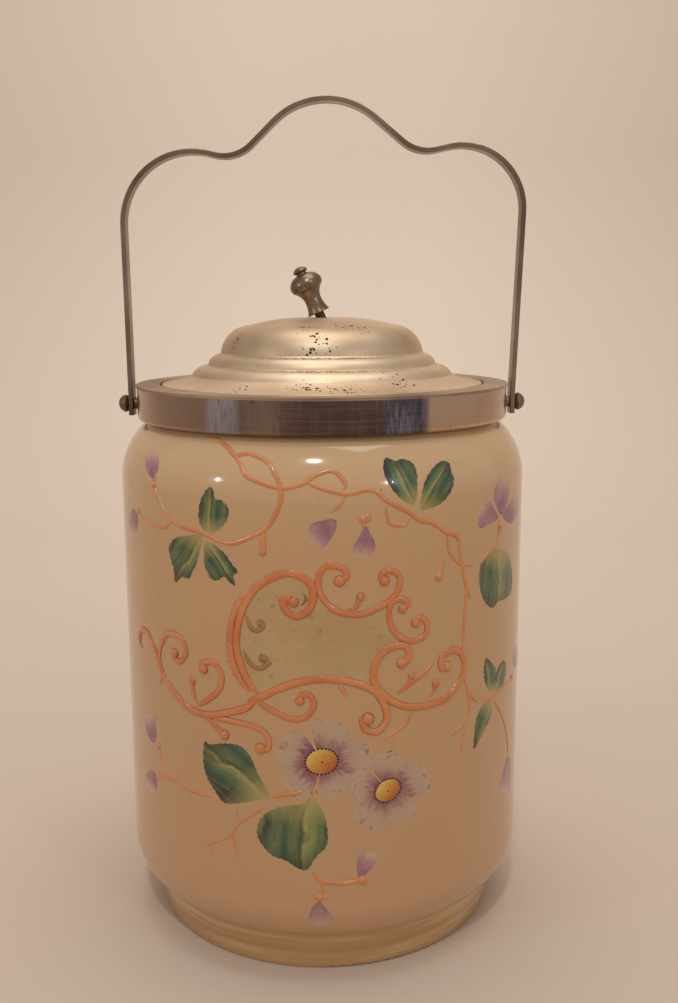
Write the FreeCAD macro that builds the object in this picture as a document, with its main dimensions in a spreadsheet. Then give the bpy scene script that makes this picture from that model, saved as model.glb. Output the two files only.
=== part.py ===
"""Covered biscuit jar: enamelled glass body, plated collar, swing bail and loose-lidded dome.

Millimetres, +Z up, origin at the centre of the foot on the table, bail pivots along X,
front of the jar towards -Y.
"""
import FreeCAD, Part
import math
import os
import re
import Sketcher

doc = FreeCAD.newDocument("biscuit_jar")
sheet = doc.addObject("Spreadsheet::Sheet", "sizes")

# Driving dimensions, one alias each
SIZES = [
    ("body_radius", 63.5, "glass wall, outside"),
    ("glass_wall", 4.0, "glass wall thickness"),
    ("ground_inset", 7.3, "top of the clear foot, where the coloured body starts, inside the wall line"),
    ("ground_height", 11.6, "height of that line"),
    ("foot_inset", 1.4, "foot at the table, inside the ground line"),
    ("foot_edge", 0.8, "rounding of the foot's lower edge"),
    ("foot_ring_width", 8.0, "width of the ring the jar stands on"),
    ("ridge_inset", 0.8, "faint mould ridge round the foot, inside the ground line"),
    ("ridge_height", 5.5, "height of that ridge"),
    ("corner_radius", 14.5, "round between foot and wall"),
    ("kick_height", 7.5, "hollow under the base"),
    ("kick_slope", 8.8, "how far the side of that hollow slopes in"),
    ("shoulder_height", 141.0, "where the wall starts to turn in"),
    ("shoulder_radius", 22.0, "round of the shoulder"),
    ("neck_inset", 11.5, "glass neck, inside the wall line"),
    ("neck_step", 1.56, "top of the shoulder, outside the neck"),
    ("neck_wall", 3.5, "glass neck thickness"),
    ("collar_space", 5.2, "plaster-filled space between neck and band"),
    ("collar_drop", 0.6, "band's lower edge below the start of the neck"),
    ("collar_height", 10.6, "collar, lower edge to top face"),
    ("plate", 0.8, "thickness of the collar metal"),
    ("band_curl", 1.2, "rolled lower edge of the band"),
    ("band_lip", 2.6, "how far the lower edge turns in"),
    ("seat_overhang", 0.3, "top plate beyond the band"),
    ("seat_border", 7.1, "flat border between the band and the lid's recess"),
    ("seat_depth", 1.9, "depth of that recess"),
    ("seat_ledge", 3.3, "ledge the lid stands on"),
    ("neck_gap", 0.3, "glass rim below the seat plate"),
    ("plaster_gap", 0.1, "plaster to glass, band and seat plate"),
    ("lid_clearance", 0.5, "lid rim inside its recess, each side"),
    ("lid_seating", 0.2, "lid rim above the ledge"),
    ("lid_metal", 0.6, "thickness of the spun lid"),
    ("lid_rise", 20.1, "flat at the middle of the lid, above the collar"),
    ("crown_flat", 6.0, "radius of that flat"),
    ("dome_inset", 19.1, "foot of the upper dome, inside the recess"),
    ("dome_rise", 9.6, "height of the first step, above the collar"),
    ("step_inset", 15.0, "foot of the middle bead, inside the recess"),
    ("step_rise", 5.8, "height of the second step, above the collar"),
    ("sweep_inset", 9.9, "where the lid sweeps out flat, inside the recess"),
    ("sweep_rise", 2.7, "height there, above the collar"),
    ("bezel_clearance", 0.4, "locating ring inside the seat"),
    ("bezel_wall", 0.8, "locating ring thickness"),
    ("bezel_depth", 6.0, "locating ring below the seat"),
    ("pivot_rise", 4.1, "bail pivots above the band's lower edge"),
    ("pin_radius", 1.1, "pivot screw"),
    ("pin_clearance", 0.07, "pivot screw in the bail"),
    ("ball_radius", 2.8, "ball head of the pivot screw"),
    ("boss_wall", 0.7, "wall of the spacer boss between band and bail"),
    ("boss_length", 1.45, "boss outside the band"),
    ("boss_play", 0.05, "boss in its hole through the band"),
    ("end_gap", 0.15, "bail to boss and bail to ball head"),
    ("bail_metal", 1.5, "bail strip thickness"),
    ("bail_width", 6.0, "bail strip width"),
    ("bail_ease", 0.3, "rounding of the strip's long edges"),
    ("bail_tail", 3.6, "bail below its pivots"),
    ("leg_round", 60.0, "bend low in each leg"),
    ("left_spread", 0.7, "bail's left shoulder corner beyond its pivot"),
    ("right_spread", 3.0, "right shoulder corner beyond its pivot; the bail is bent that way"),
    ("left_up", 83.2, "left shoulder corner above the pivots, before rounding"),
    ("right_up", 83.4, "right shoulder corner above the pivots"),
    ("left_bend", 21.8, "rounding of the left shoulder"),
    ("right_bend", 19.2, "rounding of the right shoulder"),
    ("left_dip_inset", 34.45, "left dip, inside the bail's leg"),
    ("right_dip_inset", 30.75, "right dip, inside the bail's leg"),
    ("left_dip_up", 74.0, "left dip above the pivots, before rounding"),
    ("right_dip_up", 75.8, "right dip above the pivots"),
    ("dip_bend", 12.0, "rounding of the dips"),
    ("crest_shift", 0.6, "hand grip to the right of the middle"),
    ("crest_up", 99.8, "hand grip above the pivots, before rounding"),
    ("crest_bend", 23.0, "rounding of the hand grip"),
    ("knob_lean", 24.5, "degrees the loose knob leans at rest"),
    ("knob_base", 3.55, "knob foot radius"),
    ("knob_waist", 2.65, "knob waist radius"),
    ("knob_waist_height", 4.6, "height of the waist"),
    ("knob_bulb", 5.2, "knob bulb radius"),
    ("knob_bulb_height", 10.0, "height of the bulb's widest line"),
    ("knob_shoulder", 1.6, "neck under the button"),
    ("knob_shoulder_height", 12.9, "height of that neck"),
    ("knob_button", 2.35, "button radius"),
    ("knob_height", 15.3, "knob foot to top"),
    ("button_crown", 1.2, "domed top of the button"),
    ("knob_touch", 0.1, "knob foot above the lid where it leans"),
    ("stud_radius", 1.5, "threaded stud"),
    ("stud_depth", 8.0, "stud inside the knob"),
    ("hole_play", 0.8, "oversize hole in the lid, beyond the stud"),
    ("washer_margin", 1.5, "washer under the lid, beyond that hole"),
    ("washer_metal", 0.6, "washer thickness"),
    ("nut_height", 2.2, "nut thickness"),
    ("nut_margin", 1.8, "nut corners beyond the stud"),
    ("stud_tail", 1.0, "stud below its nut"),
]

# Sizes that follow from the driving ones
FOLLOWING = {
    "ground_radius": "body_radius - ground_inset",
    "foot_radius": "ground_radius - foot_inset",
    "ridge_radius": "ground_radius - ridge_inset",
    "kick_radius": "foot_radius - foot_ring_width - kick_slope",
    "shoulder_turn": "shoulder_radius - neck_inset + neck_step",
    "neck_height": "shoulder_height + sqrt(shoulder_radius ^ 2 - shoulder_turn ^ 2)",
    "neck_radius": "body_radius - neck_inset",
    "neck_top": "ledge_top - plate - neck_gap",
    "collar_radius": "neck_radius + collar_space + plate",
    "collar_low": "neck_height - collar_drop",
    "collar_top": "collar_low + collar_height",
    "ledge_top": "collar_top - seat_depth",
    "seat_radius": "collar_radius - seat_border",
    "seat_bore": "seat_radius - seat_ledge",
    "lid_top": "collar_top + lid_rise",
    "rim_radius": "seat_radius - lid_clearance",
    "rim_low": "ledge_top + lid_seating",
    "dome_radius": "seat_radius - dome_inset",
    "dome_height": "collar_top + dome_rise",
    "step_radius": "seat_radius - step_inset",
    "step_height": "collar_top + step_rise",
    "sweep_radius": "seat_radius - sweep_inset",
    "sweep_height": "collar_top + sweep_rise",
    "bezel_radius": "seat_bore - bezel_clearance",
    "pivot_height": "collar_low + pivot_rise",
    "boss_shank": "pin_radius + 0.5",
    "boss_radius": "pin_radius + boss_wall",
    "boss_head": "pin_radius + 1.5",
    "boss_back": "collar_radius - plate - 0.1",
    "head_start": "collar_radius + boss_length + bail_metal + 2 * end_gap",
    "lid_hole": "stud_radius + hole_play",
    "washer_radius": "lid_hole + washer_margin",
}
for row, (alias, value, note) in enumerate(SIZES, start=1):
    sheet.set("A%d" % row, note)
    sheet.set("B%d" % row, str(value))
    sheet.setAlias("B%d" % row, alias)
doc.recompute()


def spelled(text):
    """The expression with every following size written out in driving ones."""
    def swap(word):
        name = word.group()
        return "(" + spelled(FOLLOWING[name]) + ")" if name in FOLLOWING else name
    return re.sub("[a-z_]+", swap, text)


def size(text):
    """Number that an expression comes to."""
    return float(sheet.evalExpression(spelled(text)))


def linked(text):
    """The same expression, written for another object of the document."""
    aliases = {alias for alias, _, _ in SIZES}

    def mark(word):
        return "sizes." + word.group() if word.group() in aliases else word.group()
    return re.sub("[a-z_]+", mark, spelled(text))


def arc_between(start, end, radius):
    """Minor arc from start to end; a positive radius bulges to the left of the way."""
    dx = end[0] - start[0]
    dy = end[1] - start[1]
    chord = math.hypot(dx, dy)
    reach = math.sqrt(max(radius * radius - chord * chord / 4, 0.0))
    side = 1 if radius > 0 else -1
    cx = (start[0] + end[0]) / 2 + side * reach * dy / chord
    cy = (start[1] + end[1]) / 2 - side * reach * dx / chord
    first = math.atan2(start[1] - cy, start[0] - cx)
    last = math.atan2(end[1] - cy, end[0] - cx)
    circle = Part.Circle(FreeCAD.Vector(cx, cy, 0), FreeCAD.Vector(0, 0, 1), abs(radius))
    if radius > 0:
        return Part.ArcOfCircle(circle, last, first if first > last else first + 2 * math.pi), 2, 1
    return Part.ArcOfCircle(circle, first, last if last > first else last + 2 * math.pi), 1, 2


def origin_plane(body, role):
    return [item for item in body.Origin.OriginFeatures if item.Role == role][0]


def turned(name, outline):
    """Body revolved about its Z axis; each outline step is (radius, height) or (radius, height, round)."""
    body = doc.addObject("PartDesign::Body", name)
    sketch = body.newObject("Sketcher::SketchObject", name + "_outline")
    sketch.AttachmentSupport = (origin_plane(body, "XZ_Plane"), [""])
    sketch.MapMode = "FlatFace"
    corners = [(size(step[0]), size(step[1])) for step in outline]
    ends = []
    for index, step in enumerate(outline):
        start = corners[index - 1]
        end = corners[index]
        if len(step) == 3:
            arc, first, last = arc_between(start, end, size(step[2]))
            edge = sketch.addGeometry(arc, False)
            radius = sketch.addConstraint(Sketcher.Constraint("Radius", edge, abs(size(step[2]))))
            sketch.setExpression("Constraints[%d]" % radius, "abs(" + linked(step[2]) + ")")
        else:
            line = Part.LineSegment(FreeCAD.Vector(*start, 0), FreeCAD.Vector(*end, 0))
            edge = sketch.addGeometry(line, False)
            first, last = 1, 2
        ends.append((edge, first, last))
    for index, step in enumerate(outline):
        edge, _, last = ends[index]
        after, first, _ = ends[(index + 1) % len(outline)]
        sketch.addConstraint(Sketcher.Constraint("Coincident", edge, last, after, first))
        if step[0] == "0":
            sketch.addConstraint(Sketcher.Constraint("PointOnObject", edge, last, -2))
        else:
            across = Sketcher.Constraint("DistanceX", -1, 1, edge, last, corners[index][0])
            number = sketch.addConstraint(across)
            sketch.setExpression("Constraints[%d]" % number, linked(step[0]))
        if step[1] == "0":
            sketch.addConstraint(Sketcher.Constraint("PointOnObject", edge, last, -1))
        else:
            up = Sketcher.Constraint("DistanceY", -1, 1, edge, last, corners[index][1])
            number = sketch.addConstraint(up)
            sketch.setExpression("Constraints[%d]" % number, linked(step[1]))
    turn = body.newObject("PartDesign::Revolution", name + "_turn")
    turn.Profile = sketch
    turn.ReferenceAxis = (sketch, ["V_Axis"])
    turn.Angle = 360
    return body


# Glass jar: clear foot ring, straight wall, round shoulder and a plain neck under the collar
INNER_RADIUS = "body_radius - glass_wall"
CORNER_TOP = ("ground_height + sqrt(corner_radius ^ 2"
              " - (ground_radius - body_radius + corner_radius) ^ 2)")
SHOULDER_END = "neck_radius + neck_step"
MOUTH_RADIUS = "neck_radius - neck_wall"
INNER_NECK = ("shoulder_height + sqrt((shoulder_radius - glass_wall) ^ 2"
              " - (neck_radius - neck_wall - body_radius + shoulder_radius) ^ 2)")
turned("glass_jar", [
    ("0", "kick_height"),
    ("kick_radius", "kick_height"),
    ("foot_radius - foot_ring_width", "0"),
    ("foot_radius - foot_edge", "0"),
    ("foot_radius", "foot_edge", "-foot_edge"),
    ("ridge_radius", "ridge_height"),
    ("ground_radius", "ground_height"),
    ("body_radius", CORNER_TOP, "-corner_radius"),
    ("body_radius", "shoulder_height"),
    (SHOULDER_END, "neck_height", "-shoulder_radius"),
    ("neck_radius", "neck_height + 1"),
    ("neck_radius", "neck_top"),
    (MOUTH_RADIUS, "neck_top"),
    (MOUTH_RADIUS, INNER_NECK),
    (INNER_RADIUS, "shoulder_height", "shoulder_radius - glass_wall"),
    (INNER_RADIUS, CORNER_TOP),
    ("body_radius - corner_radius", CORNER_TOP + " - corner_radius + glass_wall",
     "corner_radius - glass_wall"),
    ("0", CORNER_TOP + " - corner_radius + glass_wall"),
])

# Collar: band with a rolled lower edge, and the top plate with the recess for the lid
BAND_INSIDE = "collar_radius - plate"
PLATE_UNDER = "collar_top - plate"
LEDGE_UNDER = "ledge_top - plate"
turned("band_blank", [
    ("collar_radius", PLATE_UNDER),
    (BAND_INSIDE, PLATE_UNDER),
    (BAND_INSIDE, "collar_low + plate"),
    ("collar_radius - band_lip", "collar_low + plate"),
    ("collar_radius - band_lip", "collar_low"),
    ("collar_radius - band_curl", "collar_low"),
    ("collar_radius", "collar_low + band_curl", "-band_curl"),
])
turned("collar_seat", [
    ("collar_radius + seat_overhang", PLATE_UNDER),
    ("collar_radius + seat_overhang", "collar_top"),
    ("seat_radius", "collar_top"),
    ("seat_radius", "ledge_top"),
    ("seat_bore", "ledge_top"),
    ("seat_bore", LEDGE_UNDER),
    ("seat_radius + plate", LEDGE_UNDER),
    ("seat_radius + plate", PLATE_UNDER),
])

# Plaster bed between the glass neck and the band, with a pocket round each boss head
PLASTER_TOP = "ledge_top - plate - plaster_gap"
turned("plaster_bed", [
    ("neck_radius + plaster_gap", "neck_height + 1"),
    ("collar_radius - plate - plaster_gap", "neck_height + 1"),
    ("collar_radius - plate - plaster_gap", PLASTER_TOP),
    ("neck_radius + plaster_gap", PLASTER_TOP),
])
pockets = doc.addObject("Part::Cylinder", "boss_pockets")
pockets.setExpression("Radius", linked("boss_head + plaster_gap"))
pockets.setExpression("Height", linked("2 * collar_radius"))
pockets.Placement = FreeCAD.Placement(FreeCAD.Vector(0, 0, 0), FreeCAD.Rotation(FreeCAD.Vector(0, 1, 0), 90))
pockets.setExpression("Placement.Base.x", linked("-collar_radius"))
pockets.setExpression("Placement.Base.z", linked("pivot_height"))
plaster = doc.addObject("Part::Cut", "neck_plaster")
plaster.Base = doc.getObject("plaster_bed")
plaster.Tool = pockets


# Bail pivots: a boss riveted through the band and a ball-headed screw in it, on each side
BAIL_INSIDE = "collar_radius + boss_length + end_gap"
for side, turn_y in (("left", -90), ("right", 90)):
    boss = turned("pivot_boss_" + side, [
        ("pin_radius", "boss_back - plate"),
        ("boss_head", "boss_back - plate"),
        ("boss_head", "boss_back"),
        ("boss_shank", "boss_back"),
        ("boss_shank", "collar_radius"),
        ("boss_radius", "collar_radius"),
        ("boss_radius", "collar_radius + boss_length"),
        ("pin_radius", "collar_radius + boss_length"),
    ])
    screw = turned("pivot_screw_" + side, [
        ("0", "boss_back - plate"),
        ("pin_radius", "boss_back - plate"),
        ("pin_radius", "head_start"),
        ("0.75 * ball_radius", "head_start"),
        ("ball_radius", "head_start + 0.4 * ball_radius", "-0.9 * ball_radius"),
        ("0", "head_start + 1.2 * ball_radius", "-ball_radius * (1 + 0.8 ^ 2) / (2 * 0.8)"),
    ])
    for piece in (boss, screw):
        piece.Placement = FreeCAD.Placement(
            FreeCAD.Vector(0, 0, size("pivot_height")),
            FreeCAD.Rotation(FreeCAD.Vector(0, 1, 0), turn_y),
        )
        piece.setExpression("Placement.Base.z", linked("pivot_height"))

# The band has a hole for each boss
band_holes = doc.addObject("Part::Cylinder", "band_holes")
band_holes.setExpression("Radius", linked("boss_shank + boss_play"))
band_holes.setExpression("Height", linked("2 * collar_radius + 2 * plate"))
band_holes.Placement = FreeCAD.Placement(FreeCAD.Vector(0, 0, 0), FreeCAD.Rotation(FreeCAD.Vector(0, 1, 0), 90))
band_holes.setExpression("Placement.Base.x", linked("-collar_radius - plate"))
band_holes.setExpression("Placement.Base.z", linked("pivot_height"))
band = doc.addObject("Part::Cut", "collar_band")
band.Base = doc.getObject("band_blank")
band.Tool = band_holes

# Lid: spun dome with two beads, a swept skirt and a rim that drops into the seat
SKIN = [
    ("crown_flat", "lid_top"),
    ("dome_radius - 9.3", "dome_height + 8.3", "58"),
    ("dome_radius", "dome_height", "9.6"),
    ("dome_radius + 0.9", "dome_height - 0.6", "-1.2"),
    ("step_radius", "step_height", "4.4"),
    ("step_radius + 1.2", "step_height - 0.3", "-1.4"),
    ("sweep_radius", "sweep_height", "5.5"),
    ("rim_radius - 0.2", "collar_top + 0.05", "-22"),
]


def inward(step):
    return (step[0] + " - lid_metal", step[1] + " - lid_metal")


inner = []
for index in range(len(SKIN) - 1, -1, -1):
    place = inward(SKIN[index])
    if index == len(SKIN) - 1:
        inner.append(place)
    else:
        bend = SKIN[index + 1][2]
        inner.append(place + (("-(" + bend + ")"),))
turned("lid_shell", [("lid_hole", "lid_top")] + SKIN + [
    ("rim_radius", "collar_top - 0.2"),
    ("rim_radius", "rim_low"),
    ("rim_radius - lid_metal", "rim_low"),
    ("rim_radius - lid_metal", "collar_top + 0.05 - lid_metal"),
] + inner + [("lid_hole", "lid_top - lid_metal")])

# Locating ring soldered inside the rim
turned("lid_bezel", [
    ("bezel_radius", "ledge_top - bezel_depth"),
    ("bezel_radius", "rim_low + 0.1"),
    ("rim_radius - lid_metal", "rim_low + 0.1"),
    ("rim_radius - lid_metal", "rim_low + 0.1 + 0.5 * bezel_wall"),
    ("bezel_radius - bezel_wall", "rim_low + 0.1 + 0.5 * bezel_wall"),
    ("bezel_radius - bezel_wall", "ledge_top - bezel_depth"),
])

# Knob and its fastening: turned about the stud's own axis, then leaned about the lid's hole
HOLE_MIDDLE = "lid_top - 0.5 * lid_metal"
FOOT = ("(0.5 * lid_metal + knob_touch + knob_base * sin(knob_lean * 1deg))"
        " / cos(knob_lean * 1deg)")
WASHER_TOP = ("-(0.5 * lid_metal + 2 * knob_touch + washer_radius * sin(knob_lean * 1deg))"
              " / cos(knob_lean * 1deg)")
loose = [
    turned("lid_knob", [
        ("stud_radius", FOOT),
        ("knob_base", FOOT),
        ("knob_base - 0.15", FOOT + " + 0.5", "-0.5"),
        ("knob_waist", FOOT + " + knob_waist_height", "9"),
        ("knob_bulb - 0.5", FOOT + " + knob_bulb_height - 1.9", "5"),
        ("knob_bulb", FOOT + " + knob_bulb_height", "-3"),
        ("knob_shoulder", FOOT + " + knob_shoulder_height", "-4"),
        ("knob_shoulder", FOOT + " + knob_shoulder_height + 0.4"),
        ("knob_button", FOOT + " + knob_height - button_crown", "-0.9"),
        ("0", FOOT + " + knob_height", "-(knob_button ^ 2 + button_crown ^ 2) / (2 * button_crown)"),
        ("0", FOOT + " + stud_depth"),
        ("stud_radius", FOOT + " + stud_depth"),
    ]),
    turned("knob_stud", [
        ("0", FOOT + " + stud_depth"),
        ("stud_radius", FOOT + " + stud_depth"),
        ("stud_radius", WASHER_TOP + " - washer_metal - nut_height - stud_tail"),
        ("0", WASHER_TOP + " - washer_metal - nut_height - stud_tail"),
    ]),
    turned("knob_washer", [
        ("stud_radius", WASHER_TOP),
        ("washer_radius", WASHER_TOP),
        ("washer_radius", WASHER_TOP + " - washer_metal"),
        ("stud_radius", WASHER_TOP + " - washer_metal"),
    ]),
]

nut_blank = doc.addObject("Part::Prism", "nut_blank")
nut_blank.Polygon = 6
nut_blank.setExpression("Circumradius", linked("stud_radius + nut_margin"))
nut_blank.setExpression("Height", linked("nut_height"))
nut_thread = doc.addObject("Part::Cylinder", "nut_thread")
nut_thread.setExpression("Radius", linked("stud_radius"))
nut_thread.setExpression("Height", linked("nut_height"))
for tool in (nut_blank, nut_thread):
    tool.setExpression("Placement.Base.z", linked(WASHER_TOP + " - washer_metal - nut_height"))
nut = doc.addObject("Part::Cut", "knob_nut")
nut.Base = nut_blank
nut.Tool = nut_thread
loose.append(nut)
for piece in loose:
    piece.Placement = FreeCAD.Placement(
        FreeCAD.Vector(0, 0, size(HOLE_MIDDLE)),
        FreeCAD.Rotation(FreeCAD.Vector(0, 1, 0), -size("knob_lean")),
    )
    piece.setExpression("Placement.Base.z", linked(HOLE_MIDDLE))
doc.recompute()


def rounded_path(corners, rounds):
    """Straight runs joined by tangent arcs, as a list of (start, middle or None, end)."""
    runs = []
    here = corners[0]
    for index in range(1, len(corners) - 1):
        corner = corners[index]
        back = (corners[index - 1] - corner).normalize()
        on = (corners[index + 1] - corner).normalize()
        half = back.getAngle(on) / 2
        cut = rounds[index] / math.tan(half)
        start = corner + back * cut
        end = corner + on * cut
        centre = corner + (back + on).normalize() * (rounds[index] / math.sin(half))
        middle = centre + (corner - centre).normalize() * rounds[index]
        runs.append((here, None, start))
        runs.append((start, middle, end))
        here = end
    runs.append((here, None, corners[-1]))
    return runs


def path_edges(runs):
    edges = []
    for start, middle, end in runs:
        if middle is None:
            edges.append(Part.LineSegment(start, end).toShape())
        else:
            edges.append(Part.Arc(start, middle, end).toShape())
    return edges


def offset_corners(corners, shift):
    """The same polygon moved sideways by shift, corners kept sharp."""
    moved = []
    normals = []
    for index in range(len(corners) - 1):
        way = (corners[index + 1] - corners[index]).normalize()
        normals.append(FreeCAD.Vector(-way.z, 0, way.x))
    for index, corner in enumerate(corners):
        before = normals[max(index - 1, 0)]
        after = normals[min(index, len(normals) - 1)]
        both = before + after
        moved.append(corner + both * (shift * 2 / both.dot(both)))
    return moved


# Bail: one strip bent in its own plane, centre line as straight runs and tangent rounds
leg = size(BAIL_INSIDE + " + 0.5 * bail_metal")
metal = size("bail_metal")
width = size("bail_width")


def bail_corner(across, height):
    """Corner of the centre line, from an expression for each coordinate."""
    return FreeCAD.Vector(size(across), 0, size("pivot_height + " + height))


LEG = BAIL_INSIDE + " + 0.5 * bail_metal"
corners = [
    bail_corner("-(" + LEG + ")", "-bail_tail"),
    bail_corner("-(" + LEG + ")", "bail_tail"),
    bail_corner("-(" + LEG + ") - left_spread", "left_up"),
    bail_corner("-(" + LEG + ") + left_dip_inset", "left_dip_up"),
    bail_corner("crest_shift", "crest_up"),
    bail_corner(LEG + " - right_dip_inset", "right_dip_up"),
    bail_corner(LEG + " + right_spread", "right_up"),
    bail_corner(LEG, "bail_tail"),
    bail_corner(LEG, "-bail_tail"),
]
ALONG = ("leg_round", "left_bend", "dip_bend", "crest_bend", "dip_bend", "right_bend", "leg_round")
centre_rounds = [0] + [size(alias) for alias in ALONG] + [0]
turns = [0]
for index in range(1, len(corners) - 1):
    before = corners[index] - corners[index - 1]
    after = corners[index + 1] - corners[index]
    turns.append(1 if before.cross(after).y > 0 else -1)
turns.append(0)
sides = []
for shift in (metal / 2, -metal / 2):
    rounds = [radius + turn * shift for radius, turn in zip(centre_rounds, turns)]
    sides.append(path_edges(rounded_path(offset_corners(corners, shift), rounds)))
outside, inside = sides
ends = [
    Part.LineSegment(outside[0].Vertexes[0].Point, inside[0].Vertexes[0].Point).toShape(),
    Part.LineSegment(outside[-1].Vertexes[-1].Point, inside[-1].Vertexes[-1].Point).toShape(),
]
face = Part.Face(Part.Wire(Part.__sortEdges__(outside + inside + ends)))
face.translate(FreeCAD.Vector(0, -width / 2, 0))
strip = face.extrude(FreeCAD.Vector(0, width, 0))
long_edges = [edge for edge in strip.Edges if abs(abs(edge.CenterOfMass.y) - width / 2) < 1e-6]
strip = strip.makeFillet(size("bail_ease"), long_edges)
reach = leg + metal
pin_hole = Part.makeCylinder(
    size("pin_radius + pin_clearance"), 2 * reach,
    FreeCAD.Vector(-reach, 0, size("pivot_height")), FreeCAD.Vector(1, 0, 0),
)
bail = doc.addObject("Part::Feature", "handle_bail")
bail.Shape = strip.cut(pin_hole)
doc.recompute()
print("bail crest", round(bail.Shape.BoundBox.ZMax, 2), "half width", round(bail.Shape.BoundBox.XMax, 2))

# The finished pieces
NODES = [
    "glass_jar", "neck_plaster", "collar_band", "collar_seat",
    "pivot_boss_left", "pivot_boss_right", "pivot_screw_left", "pivot_screw_right",
    "handle_bail", "lid_shell", "lid_bezel",
    "lid_knob", "knob_stud", "knob_washer", "knob_nut",
]
for item in doc.Objects:
    failed = [word for word in ("Invalid", "Error") if word in item.State]
    if failed:
        raise RuntimeError("%s is %s" % (item.Name, failed))

os.makedirs("parts", exist_ok=True)
for node in NODES:
    item = doc.getObject(node)
    item.Label = node
    shape = item.Shape
    if shape.isNull() or not shape.isValid() or len(shape.Solids) != 1:
        raise RuntimeError("%s has no single valid solid" % node)
    shape.exportStep("parts/" + node + ".step")
    box = shape.BoundBox
    print(node, "volume", round(shape.Volume, 1), "z", round(box.ZMin, 2), round(box.ZMax, 2))
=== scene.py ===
# %% [markdown]
# A covered biscuit jar: an enamelled glass cylinder on a clear foot, a plated collar and domed lid,
# a loose turned knob and a wavy swing bail. The measured model comes in as a fixed frame.
# Everything painted or finished is added around it here, in metres, in the same place.

# %% Load the frame
import bpy
import math
from functools import partial
from mathutils import Matrix, Vector


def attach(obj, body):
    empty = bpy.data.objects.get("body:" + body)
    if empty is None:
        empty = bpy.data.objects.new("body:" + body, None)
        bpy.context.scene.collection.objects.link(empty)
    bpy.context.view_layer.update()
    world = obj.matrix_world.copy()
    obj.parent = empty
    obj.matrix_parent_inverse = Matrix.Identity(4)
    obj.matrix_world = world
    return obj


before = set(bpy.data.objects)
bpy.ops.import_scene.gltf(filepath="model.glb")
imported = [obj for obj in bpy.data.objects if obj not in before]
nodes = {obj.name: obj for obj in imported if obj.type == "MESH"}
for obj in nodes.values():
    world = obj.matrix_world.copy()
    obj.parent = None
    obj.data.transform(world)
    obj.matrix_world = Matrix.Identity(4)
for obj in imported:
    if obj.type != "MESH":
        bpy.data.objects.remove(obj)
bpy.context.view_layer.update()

MM = 0.001

# %% [markdown]
# The photograph was taken from close by, a little above the collar, looking down about ten degrees.
# The jar stands slightly left of the middle of the picture, so the camera turns a little to the right
# instead of shifting its lens. The same numbers later place each painted stroke on the wall.

# %% Camera at the photograph's place
PHOTO_WIDE, PHOTO_HIGH = 678, 1003
EYE = Vector((0, -348.37, 195.05))
FOCAL = 1092.35
TILT = 0.1828
ROLL = -0.0042
JAR_CENTRE_X = 322.668
JAR_CENTRE_Y = 501.5
FILM_HIGH = 36
turn_right = math.atan((PHOTO_WIDE / 2 - JAR_CENTRE_X) / FOCAL)

camera_data = bpy.data.cameras.new("photo_camera")
camera_data.sensor_fit = "VERTICAL"
camera_data.sensor_height = FILM_HIGH
camera_data.lens = FOCAL * FILM_HIGH / PHOTO_HIGH
camera_data.clip_start = 0.01
camera = bpy.data.objects.new("photo_camera", camera_data)
bpy.context.scene.collection.objects.link(camera)
camera.matrix_world = (
    Matrix.Translation(EYE * MM)
    @ Matrix.Rotation(-turn_right, 4, "Z")
    @ Matrix.Rotation(math.pi / 2 - TILT, 4, "X")
    @ Matrix.Rotation(ROLL, 4, "Z")
)
bpy.context.scene.camera = camera
print("lens", round(camera_data.lens, 2), "turned right", round(math.degrees(turn_right), 2))

# %% [markdown]
# The jar stands on one sheet that runs level under it and curves up behind, as in a small studio.
# A plain pale colour on it gives both the table and the wall, and keeps the jar's own shadow.

# %% Floor and backdrop in one sweep
def srgb(red, green, blue):
    """Linear colour from everyday 0 to 255 values."""
    return tuple(((value / 255 + 0.055) / 1.055) ** 2.4 for value in (red, green, blue))


def new_finish(name, colour, metallic, roughness):
    """A material with one shader, its node tree and that shader."""
    finish = bpy.data.materials.new(name)
    finish.use_nodes = True
    shader = finish.node_tree.nodes["Principled BSDF"]
    shader.inputs["Base Color"].default_value = (*srgb(*colour), 1)
    shader.inputs["Metallic"].default_value = metallic
    shader.inputs["Roughness"].default_value = roughness
    return finish, finish.node_tree, shader


def mesh_piece(name, points, faces, finish):
    """A smooth mesh object in the scene."""
    mesh = bpy.data.meshes.new(name)
    mesh.from_pydata([tuple(point) for point in points], [], faces)
    mesh.update()
    mesh.polygons.foreach_set("use_smooth", [True] * len(mesh.polygons))
    mesh.materials.append(finish)
    piece = bpy.data.objects.new(name, mesh)
    bpy.context.scene.collection.objects.link(piece)
    return piece


FLOOR_NEAR, FLOOR_FAR = -1.6, 0.55
SWEEP, WALL_HIGH, HALF_WIDE = 0.35, 1.8, 2.2
BEND_STEPS = 12
profile = [(FLOOR_NEAR, 0.0), (FLOOR_FAR, 0.0)]
for step in range(1, BEND_STEPS + 1):
    angle = step / BEND_STEPS * math.pi / 2
    profile.append((FLOOR_FAR + SWEEP * math.sin(angle), SWEEP - SWEEP * math.cos(angle)))
profile.append((FLOOR_FAR + SWEEP, WALL_HIGH))
sheet_points = [(side, y, z) for y, z in profile for side in (-HALF_WIDE, HALF_WIDE)]
sheet_faces = [(2 * i, 2 * i + 1, 2 * i + 3, 2 * i + 2) for i in range(len(profile) - 1)]
paper, paper_tree, paper_shader = new_finish("backdrop_paper", (228, 206, 188), 0, 0.9)
floor = mesh_piece("studio_sweep", sheet_points, sheet_faces, paper)
print("backdrop faces", len(floor.data.polygons))

# %% [markdown]
# Most of the light is soft: a plain bright room and a wide panel above. Three small lamps, one over the
# camera and one to each side, give the bright points that the photograph shows on the shoulder.

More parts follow.
